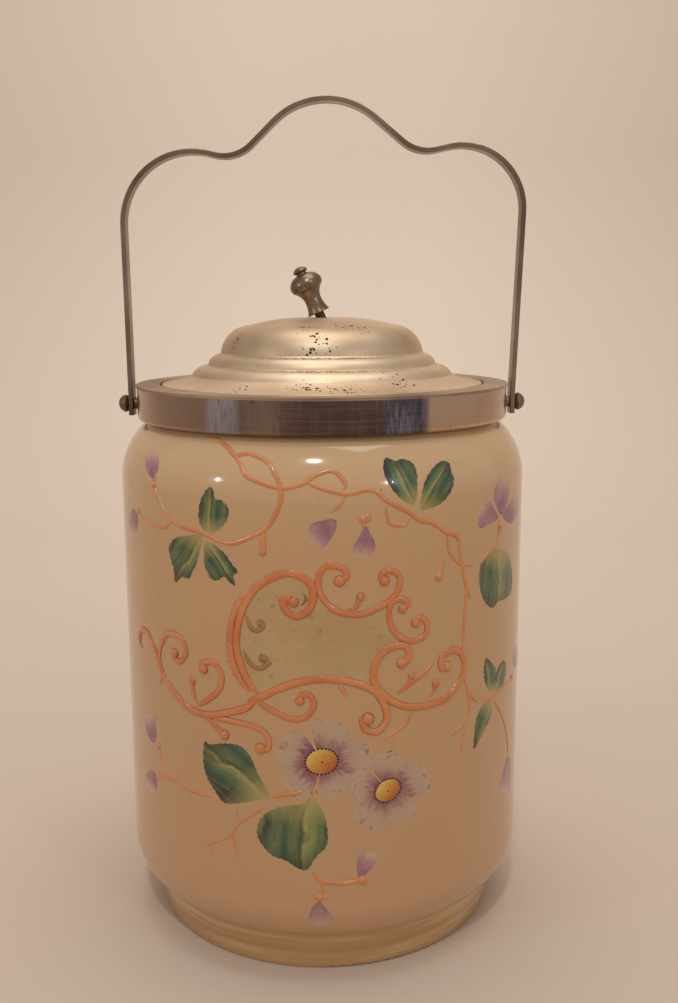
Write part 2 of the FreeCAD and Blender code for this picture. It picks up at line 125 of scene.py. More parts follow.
# %% Lamps and room light
def soft_lamp(name, place, aim, wide, high, power):
    """A rectangular lamp, turned to look at a point."""
    lamp_data = bpy.data.lights.new(name, "AREA")
    lamp_data.shape = "RECTANGLE"
    lamp_data.size = wide
    lamp_data.size_y = high
    lamp_data.energy = power
    lamp_data.color = WARM
    lamp = bpy.data.objects.new(name, lamp_data)
    bpy.context.scene.collection.objects.link(lamp)
    lamp.location = place
    lamp.rotation_euler = (Vector(aim) - Vector(place)).to_track_quat("-Z", "Y").to_euler()


WARM = (1.0, 0.98, 0.965)
ROOM_STRENGTH = 0.50
SHOULDER_AIM = (0, 0, 0.13)
soft_lamp("lamp_over_camera", (-0.10, -0.87, 1.38), SHOULDER_AIM, 0.10, 0.07, 3.6)
soft_lamp("lamp_right", (1.02, -1.38, 0.73), SHOULDER_AIM, 0.07, 0.06, 1.6)
soft_lamp("lamp_left", (-1.15, -0.68, 0.58), SHOULDER_AIM, 0.05, 0.07, 1.0)
soft_lamp("ceiling", (0.05, 0.1, 1.6), (0, 0, 0.1), 1.3, 0.8, 8.0)
world = bpy.data.worlds.new("room")
bpy.context.scene.world = world
world.use_nodes = True
room = world.node_tree.nodes["Background"]
room.inputs["Color"].default_value = (*WARM, 1)
room.inputs["Strength"].default_value = ROOM_STRENGTH
bpy.context.scene.view_settings.view_transform = "Standard"
print("lamps", len(bpy.data.lights))

# %% [markdown]
# Finishes are made from a few small building blocks: arithmetic, a noise, a colour ramp, a blend of
# two colours and a bump. Each works on the sockets of nodes and finds their tree by itself. A colour
# is three everyday values from 0 to 255, and a plain number in a ramp stands for a grey. The finishes
# read a piece's own coordinates, so marks stay where they are when the piece moves.

# %% Building blocks for finishes
def put(entry, value):
    """Joins a socket to an input, or writes a colour or a number in it."""
    if isinstance(value, bpy.types.NodeSocket):
        entry.id_data.links.new(value, entry)
    elif isinstance(value, tuple):
        entry.default_value = (*srgb(*value), 1)
    else:
        entry.default_value = value


def add(tree, kind, **values):
    """A node, with its inputs set by name."""
    made = tree.nodes.new(kind)
    for name, value in values.items():
        put(made.inputs[name.replace("_", " ")], value)
    return made


def tree_of(*values):
    """The node tree of the first socket among the values."""
    return next(value.id_data for value in values if isinstance(value, bpy.types.NodeSocket))


def own_place(tree):
    """The piece's own coordinates, whole and split into three."""
    place = tree.nodes.new("ShaderNodeTexCoord").outputs["Object"]
    return place, add(tree, "ShaderNodeSeparateXYZ", Vector=place).outputs


def joined(x, y=0.0, z=0.0):
    """A place made of three values."""
    return add(tree_of(x, y, z), "ShaderNodeCombineXYZ", X=x, Y=y, Z=z).outputs[0]


def sums(way, *values):
    """One sum of arithmetic on sockets or numbers."""
    made = tree_of(*values).nodes.new("ShaderNodeMath")
    made.operation = way
    for entry, value in zip(made.inputs, values):
        put(entry, value)
    return made.outputs[0]


times = partial(sums, "MULTIPLY")
over = partial(sums, "DIVIDE")
plus = partial(sums, "ADD")
minus = partial(sums, "SUBTRACT")


def noise(vector, scale, detail=3.0, rough=0.55):
    """A cloudy value from 0 to 1."""
    made = add(vector.id_data, "ShaderNodeTexNoise", Vector=vector, Scale=scale, Detail=detail,
               Roughness=rough)
    return made.outputs["Fac"]


def ramp(factor, stops):
    """Colour ramp from (place, colour) stops."""
    made = add(factor.id_data, "ShaderNodeValToRGB", Fac=factor)
    cells = made.color_ramp.elements
    while len(cells) < len(stops):
        cells.new(0.5)
    for cell, (place, colour) in zip(cells, stops):
        cell.position = place
        cell.color = (*srgb(*colour), 1) if isinstance(colour, tuple) else (colour, colour, colour, 1)
    return made.outputs["Color"]


def blend(factor, first, second):
    """Two colours mixed by a factor."""
    made = tree_of(factor, first, second).nodes.new("ShaderNodeMix")
    made.data_type = "RGBA"
    for entry, value in zip((made.inputs[0], made.inputs[6], made.inputs[7]), (factor, first, second)):
        put(entry, value)
    return made.outputs[2]


def bump(shader, height, strength, distance):
    """Small relief on a finish."""
    made = add(shader.id_data, "ShaderNodeBump", Height=height, Strength=strength, Distance=distance)
    put(shader.inputs["Normal"], made.outputs["Normal"])


def paint(node_name, finish):
    """Gives a measured piece its finish."""
    nodes[node_name].data.materials.clear()
    nodes[node_name].data.materials.append(finish)


print("sums with names of their own:", ", ".join(way.args[0].lower() for way in (times, over, plus, minus)))

# %% [markdown]
# The sheet under and behind the jar is painted a little darker by the camera and out to the sides, and
# palest high up behind the jar, as painted light falloff. Its tones follow its own depth and width, with a
# faint mottle over them.

# %% Paper tones with painted light falloff
place, axes = own_place(paper_tree)
# Painted light falloff: darker near the camera and at the sides, palest high up behind the jar.
depth = plus(axes["Y"], 0.1)
paper_painted_falloff = ramp(depth, [(0.0, (204, 185, 166)), (0.25, (212, 194, 175)), (0.60, (228, 211, 193)),
                          (0.98, (240, 223, 205))])
to_side = sums("ABSOLUTE", minus(axes["X"], 0.02))
paper_painted_falloff = blend(ramp(to_side, [(0.10, 0.0), (0.45, 0.62)]), paper_painted_falloff, (210, 190, 171))
mottle = noise(place, 5.0, 2.0)
paper_painted_falloff = blend(times(mottle, 0.12), paper_painted_falloff, (218, 196, 178))
put(paper_shader.inputs["Base Color"], paper_painted_falloff)
print("paper nodes", len(paper_tree.nodes))

# %% [markdown]
# The body is opal glass in a warm peach, shiny as a glazed cup, painted a little deeper in tone lower
# down as painted shade and paler at the shoulder as painted light.
# Below the coloured part the glass is left clear and shows as honey, with painted highlight bands round it.
# Both are one piece of glass, so one finish changes from one to the other at the height of that line.

# %% Peach glass with a honey foot
GROUND_LINE, LINE_SOFTNESS = 0.0116, 0.015
FOOT_ZONE, PAINTED_SHADE_HIGH = 0.02, 0.17
glass, tree, shader = new_finish("peach_glass", (200, 160, 122), 0, 0.13)
shader.inputs["IOR"].default_value = 1.5
shader.inputs["Coat Weight"].default_value = 0.35
shader.inputs["Coat Roughness"].default_value = 0.04
place, axes = own_place(tree)
cloud = noise(place, 9.0, 2.0)
# Painted shade and light: a little deeper lower down, paler at the shoulder.
tone = ramp(over(axes["Z"], PAINTED_SHADE_HIGH), [(0.06, (190, 146, 108)), (0.35, (190, 147, 104)),
                                         (0.75, (194, 153, 109)), (0.95, (206, 170, 128))])
tone = blend(times(cloud, 0.18), tone, (205, 164, 122))
fleck = ramp(noise(place, 420.0, 1.0, 0.4), [(0.0, 0.0), (0.775, 0.0), (0.80, 1.0)])
tone = blend(times(fleck, 0.35), tone, (140, 98, 62))
# Painted highlights: light and dark bands round the clear foot stand in for the glints of its glass.
painted_band_wave = noise(joined(times(axes["X"], 1.5), 0.0, times(axes["Z"], 26.0)), 9.0, 3.0)
honey = ramp(painted_band_wave, [(0.25, (168, 124, 80)), (0.5, (188, 146, 100)), (0.62, (206, 170, 122)),
                         (0.8, (174, 131, 86))])
line_share = GROUND_LINE / FOOT_ZONE
is_body = ramp(over(axes["Z"], FOOT_ZONE),
               [(0.0, 0.0), (line_share - LINE_SOFTNESS, 0.0), (line_share + LINE_SOFTNESS, 1.0)])
put(shader.inputs["Base Color"], blend(is_body, honey, tone))
put(shader.inputs["Roughness"], plus(0.09, times(cloud, 0.10)))
bump(shader, noise(place, 14.0, 2.0), 0.12, 0.0012)
paint("glass_jar", glass)
print("glass nodes", len(tree.nodes))

# %% [markdown]
# The collar's band is the brightest metal: polished nickel on brass, rubbed up and down over the years.
# Its streaks run from the top edge to the lower edge and change round the jar, so their pattern
# follows the angle round the middle. Warm brown stretches beside a few cool blue-grey ones are painted
# reflections of the room, and a pale strip along the top edge at the front is a painted highlight.

# %% Polished band with upright streaks and painted reflections
def angle_round(axes):
    """Angle round the jar as 0 to 1, with the front of the jar at 0.5."""
    turn = sums("ARCTAN2", axes["X"], times(axes["Y"], -1.0))
    return plus(over(turn, 2 * math.pi), 0.5)


def streaks(share, fine, along):
    """Noise that changes quickly round the jar and slowly up it."""
    return noise(joined(times(share, fine), along), 1.0, 4.0, 0.6)


band_finish, tree, shader = new_finish("polished_band", (176, 142, 118), 1, 0.2)
place, axes = own_place(tree)
share = angle_round(axes)
# Painted reflection: warm brown and cool blue-grey stretches round the band stand for the room it mirrors.
painted_reflection_round = ramp(share, [
    (0.0, (186, 162, 144)), (0.14, (146, 122, 106)), (0.25, (190, 164, 144)), (0.36, (172, 144, 128)),
    (0.406, (156, 128, 114)), (0.409, (160, 154, 160)), (0.433, (150, 142, 148)), (0.436, (126, 106, 94)),
    (0.458, (138, 118, 102)), (0.470, (110, 88, 76)), (0.486, (94, 72, 64)), (0.545, (88, 66, 62)),
    (0.5475, (80, 78, 94)), (0.581, (74, 72, 90)), (0.584, (208, 180, 156)), (0.72, (202, 174, 150)),
    (0.82, (150, 126, 110)), (1.0, (186, 162, 144)),
])
zones = ramp(share, [
    (0.0, 0.3), (0.1, 0.7), (0.2, 0.10), (0.406, 0.06), (0.409, 1.0), (0.433, 0.9), (0.437, 0.30),
    (0.484, 0.30), (0.50, 0.12), (0.540, 0.16), (0.5475, 1.0), (0.581, 0.6), (0.584, 0.03), (0.75, 0.08),
    (0.85, 0.6), (1.0, 0.3),
])
fine_streak = streaks(share, 900.0, times(axes["Z"], 240.0))
broad_streak = streaks(share, 260.0, times(axes["Z"], 90.0))
# Painted reflection: broad cool blue-grey streaks.
cool_reflection = ramp(broad_streak, [(0.50, 0.0), (0.64, 0.35)])
band_wear_and_painted_light = blend(times(cool_reflection, zones), painted_reflection_round, (190, 190, 204))
dark = ramp(fine_streak, [(0.34, 0.5), (0.47, 0.0)])
band_wear_and_painted_light = blend(times(dark, zones), band_wear_and_painted_light, (50, 42, 46))
level = joined(times(share, 14.0), times(axes["Z"], 1500.0))
brushed = noise(level, 1.0, 3.0)
band_wear_and_painted_light = blend(ramp(brushed, [(0.42, 0.0), (0.72, 0.22)]), band_wear_and_painted_light, (170, 148, 132))
cloudy = noise(place, 60.0, 3.0)
band_wear_and_painted_light = blend(ramp(cloudy, [(0.45, 0.0), (0.75, 0.25)]), band_wear_and_painted_light, (120, 104, 84))
BAND_TOP = 169.4
# Painted highlight: a pale strip along the top edge at the front of the band.
top_edge_highlight = ramp(times(minus(BAND_TOP * MM, axes["Z"]), 1000.0), [(0.80, 1.0), (1.0, 0.35)])
front_highlight_share = ramp(share, [(0.45, 0.0), (0.50, 0.9), (0.55, 0.6), (0.60, 0.0)])
band_wear_and_painted_light = blend(times(minus(top_edge_highlight, 0.35), front_highlight_share), band_wear_and_painted_light, (226, 214, 204))
spots = ramp(noise(place, 520.0, 2.0), [(0.69, 0.0), (0.75, 0.6)])
band_wear_and_painted_light = blend(spots, band_wear_and_painted_light, (84, 60, 46))
put(shader.inputs["Base Color"], band_wear_and_painted_light)
put(shader.inputs["Roughness"], plus(0.16, times(times(fine_streak, zones), 0.25)))
scratched = plus(times(fine_streak, zones), times(brushed, 0.12))
bump(shader, scratched, 0.12, 0.0002)
paint("collar_band", band_finish)
print("band nodes", len(tree.nodes))

# %% [markdown]
# The lid and the collar's flat top have lost their shine. The nickel is a satin beige with fine rings
# from spinning, brown pits where it has worn through, most of them at the front, and a stain or two.
# The same recipe with other numbers gives the darker metal of bail, pivots and knob.

# %% Worn and tarnished plate
RAGGED_EDGE, PIT_SCALE = 0.0008, 1050.0


def worn_metal(name, light, deep, pit_amount, pit_front, shine, rings, creases=(), worn_spots=()):
    """Spun plate with stains, pits crowded in the worn spots, and painted shade along the creases."""
    finish, tree, shader = new_finish(name, light, 1, shine)
    place, axes = own_place(tree)
    out = sums("SQRT", plus(times(axes["X"], axes["X"]), times(axes["Y"], axes["Y"])))
    patch = noise(place, 26.0, 4.0)
    tone = blend(ramp(patch, [(0.38, 0.0), (0.66, 1.0)]), light, deep)
    ring_place = joined(times(out, 900.0), times(axes["Z"], 900.0))
    spun = noise(ring_place, 1.0, 3.0)
    tone = blend(times(spun, 0.25 * rings), tone, deep)
    side = sums("ABSOLUTE", times(axes["X"], 60.0))
    back = times(sums("MAXIMUM", axes["Y"], 0.0), 60.0)
    away = times(plus(side, back), pit_front)
    front = sums("MAXIMUM", minus(1.25, away), 0.16)
    crowd = times(front, 0.12)
    for middle_x, middle_y, wide, deep_way in worn_spots:
        off_x = over(minus(axes["X"], middle_x * MM), wide * MM)
        off_y = over(minus(axes["Y"], middle_y * MM), deep_way * MM)
        off = sums("SQRT", plus(times(off_x, off_x), times(off_y, off_y)))
        crowd = sums("MAXIMUM", crowd, minus(1.0, off))
    ragged = add(tree, "ShaderNodeVectorMath", Vector=place)
    ragged.operation = "ADD"
    jitter = add(tree, "ShaderNodeTexNoise", Vector=place, Scale=900.0, Detail=1.0).outputs["Color"]
    scaled = add(tree, "ShaderNodeVectorMath", Vector=jitter)
    scaled.operation = "SCALE"
    scaled.inputs["Scale"].default_value = RAGGED_EDGE
    put(ragged.inputs[1], scaled.outputs["Vector"])
    cell = add(tree, "ShaderNodeTexVoronoi", Vector=ragged.outputs["Vector"], Scale=PIT_SCALE, Randomness=1.0)
    seed = add(tree, "ShaderNodeSeparateXYZ", Vector=cell.outputs["Color"]).outputs["X"]
    reach = times(times(seed, seed), times(crowd, 0.85))
    pits = ramp(minus(reach, cell.outputs["Distance"]), [(0.0, 0.0), (0.03, 1.0)])
    spread = times(pits, pit_amount)
    tone = blend(sums("MINIMUM", spread, 1.0), tone, (92, 58, 38))
    # Painted shade: the creases are darkened in broken dots, most at the front, where shade falls in them.
    for crease in creases:
        near = sums("ABSOLUTE", minus(axes["Z"], crease * MM))
        line = ramp(times(near, 1000.0), [(0.08, 1.0), (0.34, 0.0)])
        broken = ramp(noise(place, 1100.0, 2.0), [(0.44, 0.1), (0.54, 1.0)])
        grime_and_crease_shade = times(times(line, broken), sums("MINIMUM", front, 0.8))
        tone = blend(grime_and_crease_shade, tone, (96, 66, 44))
    put(shader.inputs["Base Color"], tone)
    rough = plus(shine - 0.06, times(patch, 0.16))
    put(shader.inputs["Roughness"], plus(rough, times(spread, 0.3)))
    height = minus(times(spun, 0.25 * rings), times(spread, 0.9))
    bump(shader, height, 0.22, 0.0002)
    return finish


DOME_CREASE, BEAD_CREASE = 178.4, 174.9
LID_SPOTS = [(-5.0, -23.0, 6.0, 7.0), (9.0, -22.0, 11.0, 6.0), (-2.0, -30.0, 10.0, 5.0),
             (-4.0, -44.0, 10.0, 6.0), (7.0, -46.0, 14.0, 6.0), (-22.0, -40.0, 6.0, 5.0),
             (-27.0, -16.0, 4.0, 4.0), (22.0, -36.0, 12.0, 5.0)]
lid_plate = worn_metal("satin_worn_plate", (236, 214, 184), (196, 170, 140), 2.2, 1.0, 0.46, 1.0,
                       (DOME_CREASE, BEAD_CREASE), LID_SPOTS)
seat_plate = worn_metal("satin_seat_plate", (188, 162, 138), (134, 110, 90), 1.0, 0.3, 0.40, 0.6)
dark_plate = worn_metal("tarnished_plate", (150, 132, 114), (100, 82, 68), 0.25, 0.0, 0.34, 0.2)
knob_plate = worn_metal("knob_plate", (150, 132, 108), (98, 80, 60), 0.3, 0.0, 0.30, 0.3)
for name in ("lid_shell", "lid_bezel"):
    paint(name, lid_plate)
paint("collar_seat", seat_plate)
for name in ("handle_bail", "pivot_boss_left", "pivot_boss_right", "pivot_screw_left", "pivot_screw_right"):
    paint(name, dark_plate)
paint("lid_knob", knob_plate)
print("metal finishes", len([item for item in bpy.data.materials if "plate" in item.name]))

# %% [markdown]
# Two pieces are hardly seen: the plaster that beds the collar on the glass, dry and grainy, and the
# steel stud, washer and nut under the knob, gone brown. They show when the lid is lifted off.

# %% Plaster and old steel
plaster, tree, shader = new_finish("dry_plaster", (214, 204, 186), 0, 0.95)
grain = noise(own_place(tree)[0], 300.0, 5.0)
put(shader.inputs["Base Color"], ramp(grain, [(0.3, (186, 172, 150)), (0.7, (226, 217, 200))]))
bump(shader, grain, 0.5, 0.0004)
paint("neck_plaster", plaster)

steel, tree, shader = new_finish("old_steel", (92, 76, 64), 1, 0.5)
rust = noise(own_place(tree)[0], 260.0, 4.0)
put(shader.inputs["Base Color"], ramp(rust, [(0.4, (96, 84, 74)), (0.62, (94, 56, 34))]))
put(shader.inputs["Roughness"], plus(0.35, times(rust, 0.35)))
bump(shader, rust, 0.35, 0.0002)
for name in ("knob_stud", "knob_washer", "knob_nut"):
    paint(name, steel)
print("steel nodes", len(tree.nodes))

# %% [markdown]
# The ornament is painted on a curved wall, and the photograph shows where each stroke lies.
# A line from the camera through a point of the picture meets the wall in one place, so a stroke is
# written down as picture points and laid on the glass there. The wall's outline gives the radius at
# each height: straight for most of it, with a round at the shoulder and at the foot.

# %% Where a point of the picture meets the wall
WALL_RADIUS = 63.5
SHOULDER_Z, SHOULDER_ROUND = 141.0, 22.0
CORNER_Z, CORNER_ROUND = 24.2, 14.5
SHOULDER_SHARE, CORNER_SHARE = 0.95, 0.9
SETTLING_STEPS = 16
forward = Vector((0, math.cos(TILT), -math.sin(TILT)))
upward = Vector((0, math.sin(TILT), math.cos(TILT)))


def wall(height):
    """Radius of the glass wall at a height, and how steeply its normal points up there."""
    if height > SHOULDER_Z:
        rise = min(height - SHOULDER_Z, SHOULDER_ROUND * SHOULDER_SHARE)
        reach = math.sqrt(SHOULDER_ROUND ** 2 - rise ** 2)
        return WALL_RADIUS - SHOULDER_ROUND + reach, rise / SHOULDER_ROUND
    if height < CORNER_Z:
        drop = min(CORNER_Z - height, CORNER_ROUND * CORNER_SHARE)
        reach = math.sqrt(CORNER_ROUND ** 2 - drop ** 2)
        return WALL_RADIUS - CORNER_ROUND + reach, -drop / CORNER_ROUND
    return WALL_RADIUS, 0.0


def on_wall(x, y):
    """Place on the wall, in millimetres, and the wall's normal there, for a point of the picture."""
    right, down = x - JAR_CENTRE_X, y - JAR_CENTRE_Y
    across = (math.cos(ROLL) * right + math.sin(ROLL) * down) / FOCAL
    lift = -(math.cos(ROLL) * down - math.sin(ROLL) * right) / FOCAL
    ray = Vector((across, 0, 0)) + upward * lift + forward
    radius = WALL_RADIUS
    for _ in range(SETTLING_STEPS):
        a = ray.x ** 2 + ray.y ** 2
        b = EYE.x * ray.x + EYE.y * ray.y
        c = EYE.x ** 2 + EYE.y ** 2 - radius ** 2
        distance = (-b - math.sqrt(max(b * b - a * c, 0.0))) / a
        spot = EYE + ray * distance
        radius = 0.5 * radius + 0.5 * wall(spot.z)[0]
    radius, rise = wall(spot.z)
    flat = Vector((spot.x, spot.y, 0)).normalized()
    normal = flat * math.sqrt(1 - rise ** 2) + Vector((0, 0, rise))
    return Vector((flat.x * radius, flat.y * radius, spot.z)), normal


print("middle of the front", [round(value, 1) for value in on_wall(JAR_CENTRE_X, 600)[0]])

# %% [markdown]
# The vine and the scrolls are raised enamel: thick orange lines trailed on from a fine brush and fired.
# Each is built as a low rounded ridge that follows its picture points, sits a hair into the glass so
# that nothing floats, and thins out at both ends. Where a scroll ends in a ball, a low drop is added.

# %% Raised enamel lines
def between(p0, p1, p2, p3, t):
    """Point of a smooth curve, a share t of the way from p1 to p2."""
    return 0.5 * ((2 * p1) + (p2 - p0) * t + (2 * p0 - 5 * p1 + 4 * p2 - p3) * t * t
                  + (3 * p1 - p0 - 3 * p2 + p3) * t ** 3)


def smooth_path(points, step=1.6):
    """A smooth curve through the points, as evenly spaced points."""
    ends = [points[0]] + list(points) + [points[-1]]
    line = []
    for index in range(1, len(ends) - 2):
        near = [Vector(ends[index + offset]) for offset in (-1, 0, 1, 2)]
        count = max(2, int((near[2] - near[1]).length / step))
        line += [between(*near, tick / count) for tick in range(count)]
    line.append(Vector(points[-1]))
    return line


def turned_to(point, back):
    """The same place on the front, or carried round to the back of the jar."""
    return Vector((-point.x, -point.y, point.z)) if back else point


ARCH = 8
SUNK = 0.06
LAY_LENGTH = 40.0
WAVE, WAVE_TURN = 0.05, 1.7
THIN_END, BALL_END = 5.0, 0.5
DROP_RINGS, DROP_AROUND = 4, 12
DROP_SPREAD, DROP_HEIGHT = 0.86, 0.5
BALL_REACH, BALL_TOUCH, LEAST_BALL = 8.0, 1.5, 1


def ridge(mesh_points, mesh_faces, uvs, picture_line, half_width, height, back, taper):
    """Adds one enamel line to the lists of a mesh: a low arch carried along its path."""
    line = smooth_path(picture_line)
    places = [on_wall(point.x, point.y) for point in line]
    travelled = [0.0]
    for index in range(1, len(places)):
        travelled.append(travelled[-1] + (places[index][0] - places[index - 1][0]).length)
    total = travelled[-1]
    first = len(mesh_points)
    for index, (spot, normal) in enumerate(places):
        after = places[min(index + 1, len(places) - 1)][0]
        before = places[max(index - 1, 0)][0]
        along = (after - before).normalized()
        side = normal.cross(along).normalized()
        thin = min(math.sqrt(min(1.0, (way + 0.05) / (ease * half_width)))
                   for way, ease in zip((travelled[index], total - travelled[index]), taper))
        wave = 1 + WAVE * math.sin(travelled[index] * WAVE_TURN + picture_line[0][0])
        for tick in range(ARCH + 1):
            angle = math.pi * tick / ARCH
            point = (spot + side * (half_width * thin * wave * math.cos(angle))
                     + normal * (height * thin * math.sin(angle) - SUNK))
            mesh_points.append(turned_to(point, back) * MM)
            uvs.append((travelled[index] / LAY_LENGTH, tick / ARCH))
    row = ARCH + 1
    for index in range(len(places) - 1):
        for tick in range(ARCH):
            here = first + index * row + tick
            mesh_faces.append((here, here + 1, here + row + 1, here + row))


def drop(mesh_points, mesh_faces, uvs, x, y, radius, height, back):
    """Adds a low round drop of enamel."""
    spot, normal = on_wall(x, y)
    side = normal.cross(Vector((0, 0, 1))).normalized()
    up = side.cross(normal).normalized()
    first = len(mesh_points)
    mesh_points.append(turned_to(spot + normal * height, back) * MM)
    uvs.append((0.0, 0.5))
    for ring in range(1, DROP_RINGS + 1):
        level = math.cos(ring / DROP_RINGS * math.pi / 2)
        reach = radius * math.sin(ring / DROP_RINGS * math.pi / 2)
        for tick in range(DROP_AROUND):
            angle = tick / DROP_AROUND * 2 * math.pi
            point = (spot + side * (reach * math.cos(angle)) + up * (reach * math.sin(angle))
                     + normal * (height * level - SUNK))
            mesh_points.append(turned_to(point, back) * MM)
            uvs.append((0.0, 0.5 + 0.5 * ring / DROP_RINGS))
    for tick in range(DROP_AROUND):
        mesh_faces.append((first, first + 1 + tick, first + 1 + (tick + 1) % DROP_AROUND))
    for ring in range(DROP_RINGS - 1):
        for tick in range(DROP_AROUND):
            a = first + 1 + ring * DROP_AROUND + tick
            b = first + 1 + ring * DROP_AROUND + (tick + 1) % DROP_AROUND
            mesh_faces.append((a, a + DROP_AROUND, b + DROP_AROUND, b))


def run_to_balls(points, drops):
    """The line carried on to the ball at either end, and how quickly it thins out at each end."""
    points = list(points)
    taper = [THIN_END, THIN_END]
    for end in (0, -1):
        balls = [Vector((x, y)) for x, y, radius in drops if radius > LEAST_BALL and
                 (Vector((x, y)) - Vector(points[end])).length < BALL_REACH]
        if balls:
            ball = min(balls, key=lambda spot: (spot - Vector(points[end])).length)
            taper[end] = BALL_END
            if (ball - Vector(points[end])).length > BALL_TOUCH:
                points.insert(0 if end == 0 else len(points), tuple(ball))
    return points, taper


def write_lay(piece, uvs):
    """Gives every corner of every face its place along and across the stroke."""
    layer = piece.data.uv_layers.new(name="lay")
    for loop in piece.data.loops:
        layer.data[loop.index].uv = uvs[loop.vertex_index]


def enamel_piece(name, lines, drops, finish, back=False):
    """One object from (half width, height, points) lines and (x, y, radius) drops."""
    mesh_points, mesh_faces, uvs = [], [], []
    for half_width, height, points in lines:
        points, taper = run_to_balls(points, drops)
        ridge(mesh_points, mesh_faces, uvs, points, half_width, height, back, taper)
    for x, y, radius in drops:
        drop(mesh_points, mesh_faces, uvs, x, y, DROP_SPREAD * radius, DROP_HEIGHT * radius, back)
    piece = mesh_piece(name, mesh_points, mesh_faces, finish)
    write_lay(piece, uvs)
    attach(piece, "jar")
    print(name, "lines", len(lines), "drops", len(drops), "faces", len(piece.data.polygons))


print("a line's arch has", ARCH + 1, "points across it, a drop", DROP_RINGS, "rings")

# %% [markdown]
# Fired enamel is glossy and a little uneven. The scrolls were edged with gold that has mostly worn to
# brown, so the finish darkens towards both sides of each line, while its back stays clear orange.

# %% Enamel finishes
def lay_axes(tree):
    """How far along and how far across its stroke a point lies."""
    lay = tree.nodes.new("ShaderNodeUVMap")
    lay.uv_map = "lay"
    split = add(tree, "ShaderNodeSeparateXYZ", Vector=lay.outputs["UV"]).outputs
    return split["X"], split["Y"]


def enamel_finish(name, main, pale, edge, edge_amount):
    """Glossy enamel that goes brown towards both sides of a line."""
    finish, tree, shader = new_finish(name, main, 0, 0.28)
    shader.inputs["Coat Weight"].default_value = 0.5
    shader.inputs["Coat Roughness"].default_value = 0.1
    across = lay_axes(tree)[1]
    off = sums("ABSOLUTE", minus(times(across, 2.0), 1.0))
    place = own_place(tree)[0]
    patch = noise(place, 120.0, 3.0)
    tone = blend(ramp(patch, [(0.35, 0.0), (0.68, 1.0)]), main, pale)
    wear = times(ramp(off, [(0.42, 0.0), (0.82, 1.0)]), edge_amount)
    grime_and_crease_shade = ramp(noise(place, 60.0, 3.0), [(0.35, 0.2), (0.62, 1.0)])
    tone = blend(times(wear, grime_and_crease_shade), tone, edge)
    put(shader.inputs["Base Color"], tone)
    bump(shader, noise(place, 700.0, 2.0), 0.15, 0.0002)
    return finish


scroll_enamel = enamel_finish("scroll_enamel", (200, 110, 54), (212, 134, 78), (104, 74, 38), 0.8)
vine_enamel = enamel_finish("vine_enamel", (204, 120, 64), (212, 142, 88), (168, 110, 62), 0.4)
gilt_enamel = enamel_finish("gilt_enamel", (146, 102, 52), (188, 130, 72), (84, 60, 30), 0.9)
print("enamel finishes", [scroll_enamel.name, vine_enamel.name, gilt_enamel.name])

# %% [markdown]
# The vine wanders round the shoulder in two crossing strands, then drops down both sides of the jar
# and carries the leaves and buds. These lines are thinner and flatter than the scrolls.

